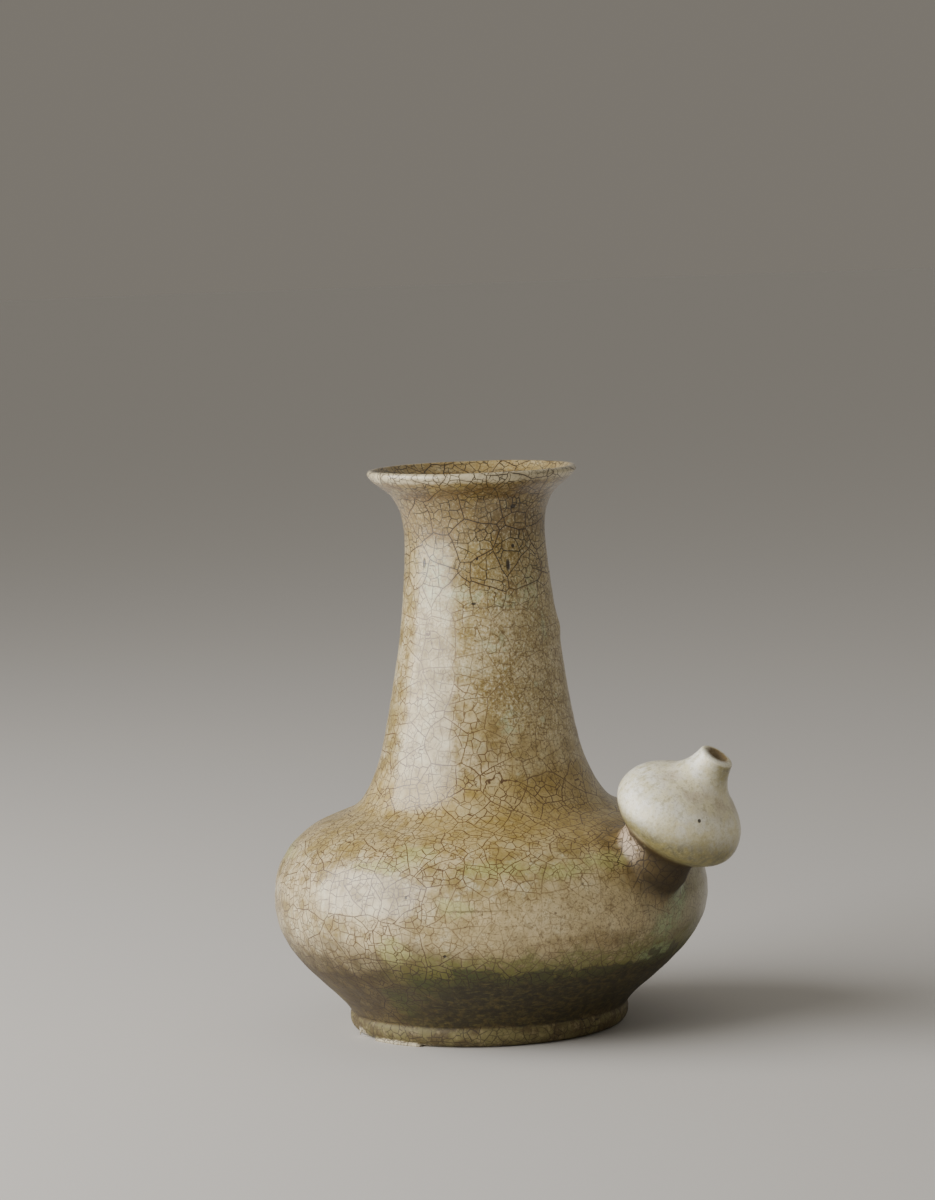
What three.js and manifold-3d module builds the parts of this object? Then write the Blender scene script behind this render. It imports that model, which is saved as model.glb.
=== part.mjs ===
// A celadon ewer of the kendi kind: a squat wheel-thrown stoneware body on a low foot, a tall neck that ends in
// a flared lip, and a round bulb of a spout luted to the shoulder and drawn out to a short pouring tip.
// Body, neck, lip and spout are fired together as one hollow piece, with no handle, lid or other loose part.
// Sizes are millimetres. +Z is up, the spout is on the +X side, and the origin is the middle of the flat base.

import * as THREE from "three";
import { mergeVertices } from "three/addons/utils/BufferGeometryUtils.js";
import Module from "manifold-3d";

// The foot: a low disc with a rounded lower edge, parted from the belly by a narrow turned groove.
const FOOT_RADIUS = 49.8;
const FOOT_HEIGHT = 6.2;
const FOOT_EDGE_ROUNDING = 4.6;
const FOOT_GROOVE_DEPTH = 0.8;
const FOOT_GROOVE_HEIGHT = 1.6;

// The body: the widest ring of the belly, and the place on the shoulder where the curve turns hollow.
const BELLY_RADIUS = 77.75;
const BELLY_HEIGHT = 47.1;
const SHOULDER_RADIUS = 57.1;
const SHOULDER_ABOVE_BELLY = 28.2;

// The neck and its flared lip, which is rolled to a round edge.
const NECK_BASE_RADIUS = 36.7;
const NECK_BASE_ABOVE_SHOULDER = 20.5;
const NECK_WAIST_RADIUS = 25.05;
const LIP_RADIUS = 37.4;
const LIP_FLARE_HEIGHT = 24.6;
const LIP_EDGE_RADIUS = 1.55;
const HEIGHT = 200;

// The thickness of the thrown walls and of the base.
const BODY_WALL = 4.6;
const LIP_WALL = 3.1;
const BASE_THICKNESS = 7.5;

// The throwing is a little out of true: the belly and the neck each stand off the axis of the foot, one way.
const BELLY_LEAN = 2.2;
const BELLY_LEAN_SPREAD = 30;
const NECK_LEAN = 1.1;
const NECK_LEAN_SPREAD = 40;
const LEAN_DIRECTION = 37;

// The spout. Its axis leaves the wall at one height, climbs at a set angle and is luted on a little askew.
// Places along it are measured from the wall.
const SPOUT_ROOT_HEIGHT = 64.7;
const SPOUT_CLIMB = 54;
const SPOUT_SKEW = 9;
const COLLAR_RADIUS = 14.8;
const COLLAR_PLACE = -1.2;
const STALK_RADIUS = 13.9;
const STALK_PLACE = 4.4;
const STALK_BORE_RADIUS = 7.5;
const BULB_RADIUS = 23.5;
const BULB_PLACE = 18.2;
const TIP_BASE_RADIUS = 13.4;
const TIP_BASE_BEYOND_BULB = 14.2;
const TIP_RADIUS = 6.6;
const TIP_LENGTH = 12.8;
const TIP_EDGE_ROUNDING = 1.6;
const POURING_BORE_RADIUS = 3.3;
const SPOUT_WALL = 3.8;

// How finely the round forms are faceted.
const BODY_SIDES = 48;
const SPOUT_SIDES = 24;
const OUTER_STEPS = 6;
const INNER_STEPS = 4;
const EDGE_STEPS = 4;

const radians = THREE.MathUtils.degToRad;
const wasm = await Module();
wasm.setup();

// A place on a profile: its radius, its height, the heading of the wall there in degrees above the outward
// level, and how firmly the wall keeps that heading before and after it, as shares of the way to the next place.
const place = (radius, height, heading, before, after) => ({ radius, height, heading, before, after });

// The curve of the wall from one place to the next.
function wallBetween(low, high) {
  const start = new THREE.Vector2(low.radius, low.height);
  const end = new THREE.Vector2(high.radius, high.height);
  const reach = start.distanceTo(end);
  const headingOf = (at) => new THREE.Vector2(Math.cos(radians(at.heading)), Math.sin(radians(at.heading)));
  return new THREE.CubicBezierCurve(
    start,
    start.clone().addScaledVector(headingOf(low), low.after * reach),
    end.clone().addScaledVector(headingOf(high), -high.before * reach),
    end,
  );
}

const curvesThrough = (places) => places.slice(1).map((next, i) => wallBetween(places[i], next));

// Points along a run of curves, each set inwards from the curve by a thickness that depends on the height.
function pointsAlong(curves, steps, inset = () => 0) {
  const points = [];
  curves.forEach((curve, index) => {
    for (let step = index === 0 ? 0 : 1; step <= steps; step += 1) {
      const point = curve.getPoint(step / steps);
      const along = curve.getTangent(step / steps);
      const inward = new THREE.Vector2(-along.y, along.x);
      points.push(point.clone().addScaledVector(inward, inset(point.y)));
    }
  });
  return points;
}

// Points on an arc round a centre, from one angle to another in degrees.
function arc(centreRadius, centreHeight, size, from, to, steps) {
  return Array.from({ length: steps + 1 }, (_, step) => {
    const angle = radians(from + ((to - from) * step) / steps);
    return new THREE.Vector2(centreRadius + size * Math.cos(angle), centreHeight + size * Math.sin(angle));
  });
}

// The body's profile.

const grooveRadius = FOOT_RADIUS - FOOT_GROOVE_DEPTH;
const wallStart = FOOT_HEIGHT + FOOT_GROOVE_HEIGHT;
const shoulderHeight = BELLY_HEIGHT + SHOULDER_ABOVE_BELLY;
const waistHeight = HEIGHT - LIP_FLARE_HEIGHT;
const lipCentre = new THREE.Vector2(LIP_RADIUS - LIP_EDGE_RADIUS, HEIGHT - LIP_EDGE_RADIUS);
const LIP_START_ANGLE = -35;
const LIP_END_ANGLE = 150;
const lipStart = arc(lipCentre.x, lipCentre.y, LIP_EDGE_RADIUS, LIP_START_ANGLE, LIP_START_ANGLE, 1)[0];

const bodyCurves = curvesThrough([
  place(FOOT_RADIUS, wallStart, 62, 0, 0.2),
  place(BELLY_RADIUS, BELLY_HEIGHT, 90, 0.4, 0.35),
  place(SHOULDER_RADIUS, shoulderHeight, 158, 0.42, 0.4),
  place(NECK_BASE_RADIUS, shoulderHeight + NECK_BASE_ABOVE_SHOULDER, 110.7, 0.67, 0.16),
  place(NECK_WAIST_RADIUS, waistHeight, 90, 0.18, 0.7),
  place(lipStart.x, lipStart.y, 90 + LIP_START_ANGLE, 0.27, 0),
]);

const wallAt = (height) => THREE.MathUtils.mapLinear(height, wallStart, HEIGHT, BODY_WALL, LIP_WALL);
const outerWall = pointsAlong(bodyCurves, OUTER_STEPS);
const innerWall = pointsAlong(bodyCurves, INNER_STEPS, wallAt);

// The radius of the outer wall at a height, read off its profile.
function wallRadiusAt(height) {
  const upper = outerWall.findIndex((point) => point.y >= height);
  const [a, b] = [outerWall[upper - 1], outerWall[upper]];
  return THREE.MathUtils.mapLinear(height, a.y, b.y, a.x, b.x);
}

function outerBodyProfile() {
  const roundingCentre = FOOT_RADIUS - FOOT_EDGE_ROUNDING;
  return [
    new THREE.Vector2(0, 0),
    ...arc(roundingCentre, FOOT_EDGE_ROUNDING, FOOT_EDGE_ROUNDING, -90, 0, EDGE_STEPS),
    new THREE.Vector2(FOOT_RADIUS, FOOT_HEIGHT),
    new THREE.Vector2(grooveRadius, FOOT_HEIGHT + FOOT_GROOVE_HEIGHT / 2),
    ...outerWall,
    ...arc(lipCentre.x, lipCentre.y, LIP_EDGE_RADIUS, LIP_START_ANGLE, LIP_END_ANGLE, 2 * EDGE_STEPS).slice(1),
    new THREE.Vector2(0, lipCentre.y + LIP_EDGE_RADIUS * Math.sin(radians(LIP_END_ANGLE))),
  ];
}

// The hollow inside, which runs out through the open mouth.
function innerBodyProfile() {
  const floorEdge = innerWall[0];
  const lipInside = arc(lipCentre.x, lipCentre.y, LIP_EDGE_RADIUS, LIP_END_ANGLE, LIP_END_ANGLE, 1)[0];
  return [
    new THREE.Vector2(0, BASE_THICKNESS),
    new THREE.Vector2(floorEdge.x * 0.6, BASE_THICKNESS + 0.1 * (floorEdge.y - BASE_THICKNESS)),
    new THREE.Vector2(floorEdge.x * 0.88, BASE_THICKNESS + 0.4 * (floorEdge.y - BASE_THICKNESS)),
    ...innerWall.slice(0, -1),
    lipInside,
    new THREE.Vector2(lipInside.x, HEIGHT + LIP_EDGE_RADIUS),
    new THREE.Vector2(0, HEIGHT + LIP_EDGE_RADIUS),
  ];
}

// The spout's profile, along its own axis. A low collar of luting clay rings the stalk where it meets the
// shoulder. The outer form starts inside the body wall.

const bulbTop = BULB_PLACE + TIP_BASE_BEYOND_BULB;
const spoutEnd = bulbTop + TIP_LENGTH;
const rootDepth = 2 * BODY_WALL;

function outerSpoutProfile() {
  const curves = curvesThrough([
    place(STALK_RADIUS, -rootDepth, 90, 0, 0.3),
    place(COLLAR_RADIUS, COLLAR_PLACE, 90, 0.3, 0.3),
    place(STALK_RADIUS, STALK_PLACE, 90, 0.3, 0.25),
    place(BULB_RADIUS, BULB_PLACE, 90, 0.46, 0.38),
    place(TIP_BASE_RADIUS, bulbTop, 145, 0.36, 0.37),
    place(TIP_RADIUS, spoutEnd - TIP_EDGE_ROUNDING, 101, 0.37, 0),
  ]);
  return [
    new THREE.Vector2(0, -rootDepth),
    ...pointsAlong(curves, OUTER_STEPS - 1),
    ...arc(TIP_RADIUS - TIP_EDGE_ROUNDING, spoutEnd - TIP_EDGE_ROUNDING, TIP_EDGE_ROUNDING, 0, 90, EDGE_STEPS).slice(1),
    new THREE.Vector2(0, spoutEnd),
  ];
}

// The way the water takes: from inside the body through the stalk, the hollow of the bulb and the narrow tip.
function innerSpoutProfile() {
  const bulbHollow = BULB_RADIUS - SPOUT_WALL;
  const curves = curvesThrough([
    place(STALK_BORE_RADIUS, STALK_PLACE, 90, 0, 0.34),
    place(bulbHollow, BULB_PLACE, 90, 0.47, 0.4),
    place(POURING_BORE_RADIUS + 1, bulbTop, 120, 0.36, 0.3),
    place(POURING_BORE_RADIUS, bulbTop + TIP_LENGTH / 2, 90, 0.4, 0),
  ]);
  return [
    new THREE.Vector2(0, -2 * rootDepth),
    new THREE.Vector2(STALK_BORE_RADIUS, -2 * rootDepth),
    ...pointsAlong(curves, INNER_STEPS),
    new THREE.Vector2(POURING_BORE_RADIUS, spoutEnd + TIP_EDGE_ROUNDING),
    new THREE.Vector2(0, spoutEnd + TIP_EDGE_ROUNDING),
  ];
}

// Turns a profile round the Z axis.
function turned(profile, sides) {
  return new THREE.LatheGeometry(profile, sides).rotateX(Math.PI / 2);
}

// How far the throwing stands off the axis at a height. The foot itself is true.
function leanAt(height) {
  const bump = (centre, spread) => Math.exp(-(((height - centre) / spread) ** 2));
  const amount = BELLY_LEAN * bump(BELLY_HEIGHT, BELLY_LEAN_SPREAD)
    + NECK_LEAN * bump(waistHeight - LIP_FLARE_HEIGHT, NECK_LEAN_SPREAD);
  const settled = THREE.MathUtils.smoothstep(height, FOOT_HEIGHT / 2, 3 * FOOT_HEIGHT);
  return new THREE.Vector2(amount * settled, 0).rotateAround(new THREE.Vector2(), radians(LEAN_DIRECTION));
}

function leaning(geometry) {
  const position = geometry.getAttribute("position");
  for (let i = 0; i < position.count; i += 1) {
    const lean = leanAt(position.getZ(i));
    position.setXY(i, position.getX(i) + lean.x, position.getY(i) + lean.y);
  }
  return geometry;
}

// Sets the spout's axis on the shoulder: tipped from upright to its climb, turned askew, and moved to the wall.
function onShoulder(geometry) {
  const lean = leanAt(SPOUT_ROOT_HEIGHT);
  return geometry
    .rotateY(radians(90 - SPOUT_CLIMB))
    .rotateZ(radians(SPOUT_SKEW))
    .translate(wallRadiusAt(SPOUT_ROOT_HEIGHT) + lean.x, 0, SPOUT_ROOT_HEIGHT);
}

// A closed geometry as a solid that can be joined and cut.
function solid(geometry) {
  geometry.deleteAttribute("normal");
  geometry.deleteAttribute("uv");
  const merged = mergeVertices(geometry, 1e-4);
  const triangles = [];
  for (let i = 0; i < merged.index.count; i += 3) {
    const [a, b, c] = [0, 1, 2].map((corner) => merged.index.getX(i + corner));
    if (a !== b && b !== c && c !== a) triangles.push(a, b, c);
  }
  return new wasm.Manifold(
    new wasm.Mesh({
      numProp: 3,
      vertProperties: merged.attributes.position.array,
      triVerts: new Uint32Array(triangles),
    }),
  );
}

function geometryOf(joined) {
  const mesh = joined.getMesh();
  const geometry = new THREE.BufferGeometry();
  geometry.setAttribute("position", new THREE.BufferAttribute(mesh.vertProperties, 3));
  geometry.setIndex(new THREE.BufferAttribute(mesh.triVerts, 1));
  geometry.computeVertexNormals();
  return geometry;
}

const celadonGlaze = new THREE.MeshStandardMaterial({ color: 0xb9a478, roughness: 0.3, metalness: 0 });

function ewer() {
  const outside = solid(leaning(turned(outerBodyProfile(), BODY_SIDES)))
    .add(solid(onShoulder(turned(outerSpoutProfile(), SPOUT_SIDES))));
  const hollow = solid(leaning(turned(innerBodyProfile(), BODY_SIDES)))
    .add(solid(onShoulder(turned(innerSpoutProfile(), SPOUT_SIDES))));
  const mesh = new THREE.Mesh(geometryOf(outside.subtract(hollow)), celadonGlaze);
  mesh.name = "ewer";
  return mesh;
}

const part = new THREE.Group();
part.add(ewer());

export default part;
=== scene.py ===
import functools
import math

import bmesh
import bpy
from mathutils import Matrix, Vector, bvhtree, geometry, kdtree, noise


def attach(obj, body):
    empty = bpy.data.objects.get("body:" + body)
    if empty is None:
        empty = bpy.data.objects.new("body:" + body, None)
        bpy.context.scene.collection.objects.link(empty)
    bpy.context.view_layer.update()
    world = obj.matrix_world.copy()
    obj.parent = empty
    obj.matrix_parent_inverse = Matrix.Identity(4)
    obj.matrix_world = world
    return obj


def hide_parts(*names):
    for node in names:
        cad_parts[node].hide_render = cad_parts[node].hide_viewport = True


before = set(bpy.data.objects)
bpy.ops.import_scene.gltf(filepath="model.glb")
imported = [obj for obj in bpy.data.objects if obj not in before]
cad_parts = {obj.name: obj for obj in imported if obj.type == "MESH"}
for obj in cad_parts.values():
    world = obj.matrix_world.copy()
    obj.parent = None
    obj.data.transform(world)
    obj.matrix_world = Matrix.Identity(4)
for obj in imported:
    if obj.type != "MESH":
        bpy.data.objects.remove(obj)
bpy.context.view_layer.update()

# The view.
# A long lens stands 1.6 m away and 0.1 m above the lip, on the side where the spout points to the right and
# somewhat forward. It is held very slightly out of level.
mm = 0.001
view_azimuth = 37.0
view_distance = 1596.0 * mm
view_height = 299.9 * mm
view_dip = 5.279
view_yaw = 0.096
view_roll = -2.017
lens_length = 135.14
sensor_width = 36.0

lens = bpy.data.cameras.new("view")
lens.lens = lens_length
lens.sensor_width = sensor_width
camera = bpy.data.objects.new("view", lens)
bpy.context.scene.collection.objects.link(camera)
camera.matrix_world = (
    Matrix.Rotation(math.radians(view_azimuth), 4, "Z")
    @ Matrix.Translation((0.0, -view_distance, view_height))
    @ Matrix.Rotation(math.radians(90.0 - view_dip), 4, "X")
    @ Matrix.Rotation(math.radians(view_yaw), 4, "Y")
    @ Matrix.Rotation(math.radians(view_roll), 4, "Z")
)
bpy.context.scene.camera = camera

# The thrown vessel.
# Foot, belly, neck and lip are thrown on the wheel as one hollow stoneware form, a little out of true.
# Its outline runs up the outside, round the lip and down the inside wall to the middle of the floor.
foot_radius = 49.8 * mm
foot_height = 6.2 * mm
foot_rounding = 4.6 * mm
underside_rings = 12
groove_depth = 0.8 * mm
groove_height = 1.6 * mm
groove_edge_depth = 0.1 * mm
groove_edge_height = 0.7 * mm
belly_radius = 77.75 * mm
belly_height = 47.1 * mm
shoulder_radius = 57.1 * mm
shoulder_height = belly_height + 28.2 * mm
neck_base_radius = 36.7 * mm
neck_base_height = shoulder_height + 20.5 * mm
waist_radius = 25.05 * mm
height = 200.0 * mm
waist_height = height - 24.6 * mm
lip_radius = 37.4 * mm
lip_rounding = 1.55 * mm
lip_start_angle = -35.0
lip_end_angle = 150.0
body_wall = 4.6 * mm
lip_wall = 3.1 * mm
base_thickness = 7.5 * mm
outer_step = 1.25 * mm
inner_step = 4.0 * mm
rounding_steps = 8
lip_steps = 12
body_sides = 288
weld = 0.001 * mm

# Belly and neck lean off the axis of the foot, towards the right of the view.
belly_lean = 2.2 * mm
belly_lean_reach = 30.0 * mm
neck_lean = 1.1 * mm
neck_lean_height = 150.8 * mm
neck_lean_reach = 40.0 * mm
lean_start = foot_height / 2
lean_fade = 2.5 * foot_height

# The floor's hollow, in shares of the inner radius and of the rise to the wall.
floor_curve = [(0.0, 0.0), (0.6, 0.1), (0.88, 0.4)]


def curve_between(low, high, step):
    """Points from one place on an outline to the next.

    A place is a radius, a height, the wall's heading in degrees, and how firmly the curve that comes to it
    and the curve that leaves it hold to that heading.
    """
    (radius_a, height_a, heading_a, _, hold_a) = low
    (radius_b, height_b, heading_b, hold_b, _) = high
    start = Vector((radius_a, 0.0, height_a))
    end = Vector((radius_b, 0.0, height_b))
    reach = (end - start).length
    towards_a = Vector((math.cos(math.radians(heading_a)), 0.0, math.sin(math.radians(heading_a))))
    towards_b = Vector((math.cos(math.radians(heading_b)), 0.0, math.sin(math.radians(heading_b))))
    count = max(4, math.ceil(reach / step) + 1)
    return geometry.interpolate_bezier(
        start, start + towards_a * hold_a * reach, end - towards_b * hold_b * reach, end, count
    )


def outline_through(places, step):
    """The whole curve through a list of places, each place given once."""
    points = [Vector((places[0][0], 0.0, places[0][1]))]
    for low, high in zip(places, places[1:]):
        points += curve_between(low, high, step)[1:]
    return points


def arc(centre, size, start, end, steps):
    """Points round a centre, from one angle in degrees to another."""
    turn = [math.radians(start + (end - start) * k / steps) for k in range(steps + 1)]
    return [centre + size * Vector((math.cos(a), 0.0, math.sin(a))) for a in turn]


def turned(outline, sides):
    """Spins an outline that starts and ends on the axis into a closed form, as the wheel does."""
    form = bmesh.new()
    points = [form.verts.new(point) for point in outline]
    edges = [form.edges.new(pair) for pair in zip(points, points[1:])]
    bmesh.ops.spin(form, geom=points + edges, cent=(0, 0, 0), axis=(0, 0, 1), angle=math.tau,
                   steps=sides, use_merge=True)
    bmesh.ops.remove_doubles(form, verts=form.verts, dist=weld)
    bmesh.ops.recalc_face_normals(form, faces=form.faces)
    return form


def as_object(form, name):
    """Puts a bmesh into the scene as an object at the origin."""
    mesh = bpy.data.meshes.new(name)
    form.to_mesh(mesh)
    form.free()
    made = bpy.data.objects.new(name, mesh)
    bpy.context.scene.collection.objects.link(made)
    return made


def nearness(distance, reach):
    """1 at a place, and softly less the further off it is."""
    return math.exp(-((distance / reach) ** 2))


def lean_at(level):
    """How far the throwing stands off the axis of the foot at a height."""
    belly = belly_lean * nearness(level - belly_height, belly_lean_reach)
    neck = neck_lean * nearness(level - neck_lean_height, neck_lean_reach)
    settled = min(1.0, max(0.0, (level - lean_start) / lean_fade))
    direction = math.radians(view_azimuth)
    return (belly + neck) * settled * Vector((math.cos(direction), math.sin(direction), 0.0))


def leaned(form):
    """Moves each level of a turned form as far as the throwing leans there."""
    for vert in form.verts:
        vert.co += lean_at(vert.co.z)
    return form


lip_centre = Vector((lip_radius - lip_rounding, 0.0, height - lip_rounding))
lip_arc = arc(lip_centre, lip_rounding, lip_start_angle, lip_end_angle, lip_steps)
wall_start = foot_height + groove_height
wall_places = [
    (foot_radius, wall_start, 62.0, 0.0, 0.2),
    (belly_radius, belly_height, 90.0, 0.4, 0.35),
    (shoulder_radius, shoulder_height, 158.0, 0.42, 0.4),
    (neck_base_radius, neck_base_height, 110.7, 0.67, 0.16),
    (waist_radius, waist_height, 90.0, 0.18, 0.7),
    (lip_arc[0].x, lip_arc[0].z, 90.0 + lip_start_angle, 0.27, 0.0),
]
outer_wall = outline_through(wall_places, outer_step)


def inner_wall(clearance=0.0):
    """The outer wall set inwards by the wall's thickness, from the lip down to the floor."""
    curve = outline_through(wall_places, inner_step)
    points = []
    for before, point, after in zip(curve, curve[1:], curve[2:]):
        along = (after - before).normalized()
        share = (point.z - wall_start) / (height - wall_start)
        wall = body_wall + (lip_wall - body_wall) * share + clearance
        points.append(point + wall * Vector((-along.z, 0.0, along.x)))
    edge = points[0]
    rise = edge.z - base_thickness
    floor = [
        Vector((edge.x * out, 0.0, base_thickness + up * rise + clearance))
        for out, up in floor_curve
    ]
    return list(reversed(floor + points))


def foot_outline():
    """The flat underside, the rounded edge of the foot and the groove above it."""
    rounding_centre = Vector((foot_radius - foot_rounding, 0.0, foot_rounding))
    inner = rounding_centre.x
    underside = [Vector((inner * k / underside_rings, 0.0, 0.0)) for k in range(underside_rings)]
    side = [
        Vector((foot_radius, 0.0, foot_height - groove_edge_height)),
        Vector((foot_radius - groove_edge_depth, 0.0, foot_height)),
        Vector((foot_radius - groove_depth, 0.0, foot_height + groove_height / 2)),
    ]
    return underside + arc(rounding_centre, foot_rounding, -90.0, 0.0, rounding_steps) + side


vessel_outline = foot_outline() + outer_wall + lip_arc[1:] + inner_wall()
vessel = as_object(leaned(turned(vessel_outline, body_sides)), "glazed_ewer")

# The spout.
# A hollow bulb is thrown apart, with a short stalk below and a drawn-out pouring tip above, then luted to
# the shoulder with slip. It sits a few degrees askew and is bored through.
root_height = 64.7 * mm
spout_climb = 54.0
spout_skew = 9.0
collar_radius = 14.8 * mm
collar_place = -1.2 * mm
stalk_radius = 13.9 * mm
stalk_place = 4.4 * mm
stalk_bore = 7.5 * mm
bulb_radius = 23.5 * mm
bulb_place = 18.2 * mm
tip_base_radius = 13.4 * mm
tip_base_place = bulb_place + 14.2 * mm
tip_radius = 6.6 * mm
tip_rounding = 1.6 * mm
spout_end = tip_base_place + 12.8 * mm
pouring_bore = 3.3 * mm
bore_flare = 1.0 * mm
spout_wall = 3.8 * mm
root_depth = 2 * body_wall
spout_step = 0.9 * mm
spout_sides = 128
passage_step = 2.0 * mm
passage_sides = 48
trim_clearance = 0.1 * mm
trim_above_waist = 6
trim_sides = 96


def spout_outline():
    """The outside of the spout, up its own axis from a foot that is sunk in the shoulder."""
    places = [
        (stalk_radius, -root_depth, 90.0, 0.0, 0.3),
        (collar_radius, collar_place, 90.0, 0.3, 0.3),
        (stalk_radius, stalk_place, 90.0, 0.3, 0.25),
        (bulb_radius, bulb_place, 90.0, 0.46, 0.38),
        (tip_base_radius, tip_base_place, 145.0, 0.36, 0.37),
        (tip_radius, spout_end - tip_rounding, 101.0, 0.37, 0.0),
    ]
    edge_centre = Vector((tip_radius - tip_rounding, 0.0, spout_end - tip_rounding))
    tip_edge = arc(edge_centre, tip_rounding, 0.0, 90.0, rounding_steps)
    return (
        [Vector((0.0, 0.0, -root_depth))]
        + outline_through(places, spout_step)
        + tip_edge[1:]
        + [Vector((0.0, 0.0, spout_end))]
    )


def passage_outline():
    """The way of the water, from the cavity through the stalk and the bulb and out of the tip."""
    places = [
        (stalk_bore, stalk_place, 90.0, 0.0, 0.34),
        (bulb_radius - spout_wall, bulb_place, 90.0, 0.47, 0.4),
        (pouring_bore + bore_flare, tip_base_place, 120.0, 0.36, 0.3),
        (pouring_bore, (tip_base_place + spout_end) / 2, 90.0, 0.4, 0.0),
    ]
    far_end = spout_end + tip_rounding
    return (
        [Vector((0.0, 0.0, -2 * root_depth)), Vector((stalk_bore, 0.0, -2 * root_depth))]
        + outline_through(places, passage_step)
        + [Vector((pouring_bore, 0.0, far_end)), Vector((0.0, 0.0, far_end))]
    )


def wall_radius_at(level):
    """The radius of the outer wall at a height, read off its outline."""
    for low, high in zip(outer_wall, outer_wall[1:]):
        if low.z <= level <= high.z:
            return low.x + (high.x - low.x) * (level - low.z) / (high.z - low.z)
    return outer_wall[-1].x


spout_root = Vector((wall_radius_at(root_height) + lean_at(root_height).x, 0.0, root_height))
on_shoulder = (
    Matrix.Translation(spout_root)
    @ Matrix.Rotation(math.radians(spout_skew), 4, "Z")
    @ Matrix.Rotation(math.radians(90.0 - spout_climb), 4, "Y")
)


def on_the_shoulder(form):
    """Sets a form that was turned upright onto the root of the spout, along the spout's axis."""
    bmesh.ops.transform(form, matrix=on_shoulder, verts=form.verts)
    return form


def combined(first, second, how):
    """Joins the second object to the first, or cuts it away, and removes it."""
    step = first.modifiers.new("step", "BOOLEAN")
    step.operation = how
    step.solver = "MANIFOLD"
    step.object = second
    finished = bpy.data.meshes.new_from_object(
        first.evaluated_get(bpy.context.evaluated_depsgraph_get())
    )
    first.modifiers.clear()
    first.data = finished
    bpy.data.objects.remove(second)


spout = as_object(on_the_shoulder(turned(spout_outline(), spout_sides)), "spout")
body_skin = bvhtree.BVHTree.FromObject(vessel, bpy.context.evaluated_depsgraph_get())
spout_skin = bvhtree.BVHTree.FromObject(spout, bpy.context.evaluated_depsgraph_get())
combined(vessel, spout, "UNION")

# What stands into the cavity is trimmed off close to the inner wall, and the passage is bored through.
trim_outline = [Vector((0.0, 0.0, waist_height))] + inner_wall(trim_clearance)[trim_above_waist:]
root_trim = as_object(leaned(turned(trim_outline, trim_sides)), "root_trim")
combined(vessel, root_trim, "DIFFERENCE")
passage = as_object(on_the_shoulder(turned(passage_outline(), passage_sides)), "passage")
combined(vessel, passage, "DIFFERENCE")

# The root of the spout.
# Slip is worked round the joint with a wet finger, so that stalk and shoulder run into each other in a soft
# hollow. Here the skin near the joint is smoothed again and again, each time in a narrower strip.
slip_reach = 5.0 * mm
slip_rounds = 26
slip_narrowing = 0.75
root_reach = 30.0 * mm
skin_gap = 0.03 * mm
skin_depth = 0.1 * mm
seam_reach = 2.0 * mm
seam_weld = 0.45 * mm


def off_skins(point):
    """How far a point lies off the thrown wall, and off the spout."""
    return body_skin.find_nearest(point)[3], spout_skin.find_nearest(point)[3]


def round_the_root():
    return [v for v in form.verts if (v.co - spout_root).length < root_reach]


form = bmesh.new()
form.from_mesh(vessel.data)
joint = [v.co.copy() for v in round_the_root() if max(off_skins(v.co)) < skin_gap]
joint_tree = kdtree.KDTree(len(joint))
for index, point in enumerate(joint):
    joint_tree.insert(point, index)
joint_tree.balance()


def from_joint(point):
    return joint_tree.find(point)[2]


def slip_zone():
    """The outer skin near the joint, without the walls of the cavity and of the passage."""
    near = [v for v in round_the_root() if from_joint(v.co) < slip_reach]
    return [v for v in near if min(off_skins(v.co)) < skin_depth]


seam = [v for v in slip_zone() if from_joint(v.co) < seam_reach]
bmesh.ops.remove_doubles(form, verts=seam, dist=seam_weld)
zone = slip_zone()
for round_number in range(slip_rounds):
    reach = slip_reach * (1.0 - slip_narrowing * round_number / slip_rounds)
    worked = [v for v in zone if from_joint(v.co) < reach]
    bmesh.ops.smooth_vert(form, verts=worked, factor=0.5, use_axis_x=True, use_axis_y=True, use_axis_z=True)

# The marks of making.
# Throwing leaves low rings, ledges and soft swellings in the wall, and a lump stands out at the right of
# the neck. Three values kept on the mesh tell the glaze what is spout, how far up it a place is, and what is
# its bore.
swelling = 0.26 * mm
swelling_size = 30.0 * mm
dimpling = 0.09 * mm
dimpling_size = 11.0 * mm
dimpling_shift = Vector((5, 5, 5))
ring_depth = 0.055 * mm
ring_pitch = 6.4 * mm
ring_wander = 4.0
ring_wander_size = 45.0 * mm
ring_strength = 0.6
ring_change = 14.0 * mm
ledge_depth = 0.28 * mm
ledge_length = 42.0 * mm
ledge_pitch = 4.2 * mm
ledge_height = 56.0 * mm
ledge_reach = 24.0 * mm
belly_inset = 0.3 * mm
belly_inset_reach = 14.0 * mm
lip_inset = 0.22 * mm
lip_inset_reach = 6.0 * mm
true_foot_height = 2.0 * mm
true_foot_fade = 8.0 * mm
lump_azimuth = 31.0
lump_level = 142.5 * mm
lump_size = 5.5 * mm
lump_steepness = 1.6
lump_height = 0.9 * mm
spout_reach = 60.0 * mm
spout_skin_reach = 5.0 * mm
spout_blend = 3.0 * mm
spout_unevenness = 0.6
spout_inset = 0.3 * mm
bore_margin = 0.2 * mm
off_spout = on_shoulder.inverted()


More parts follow.
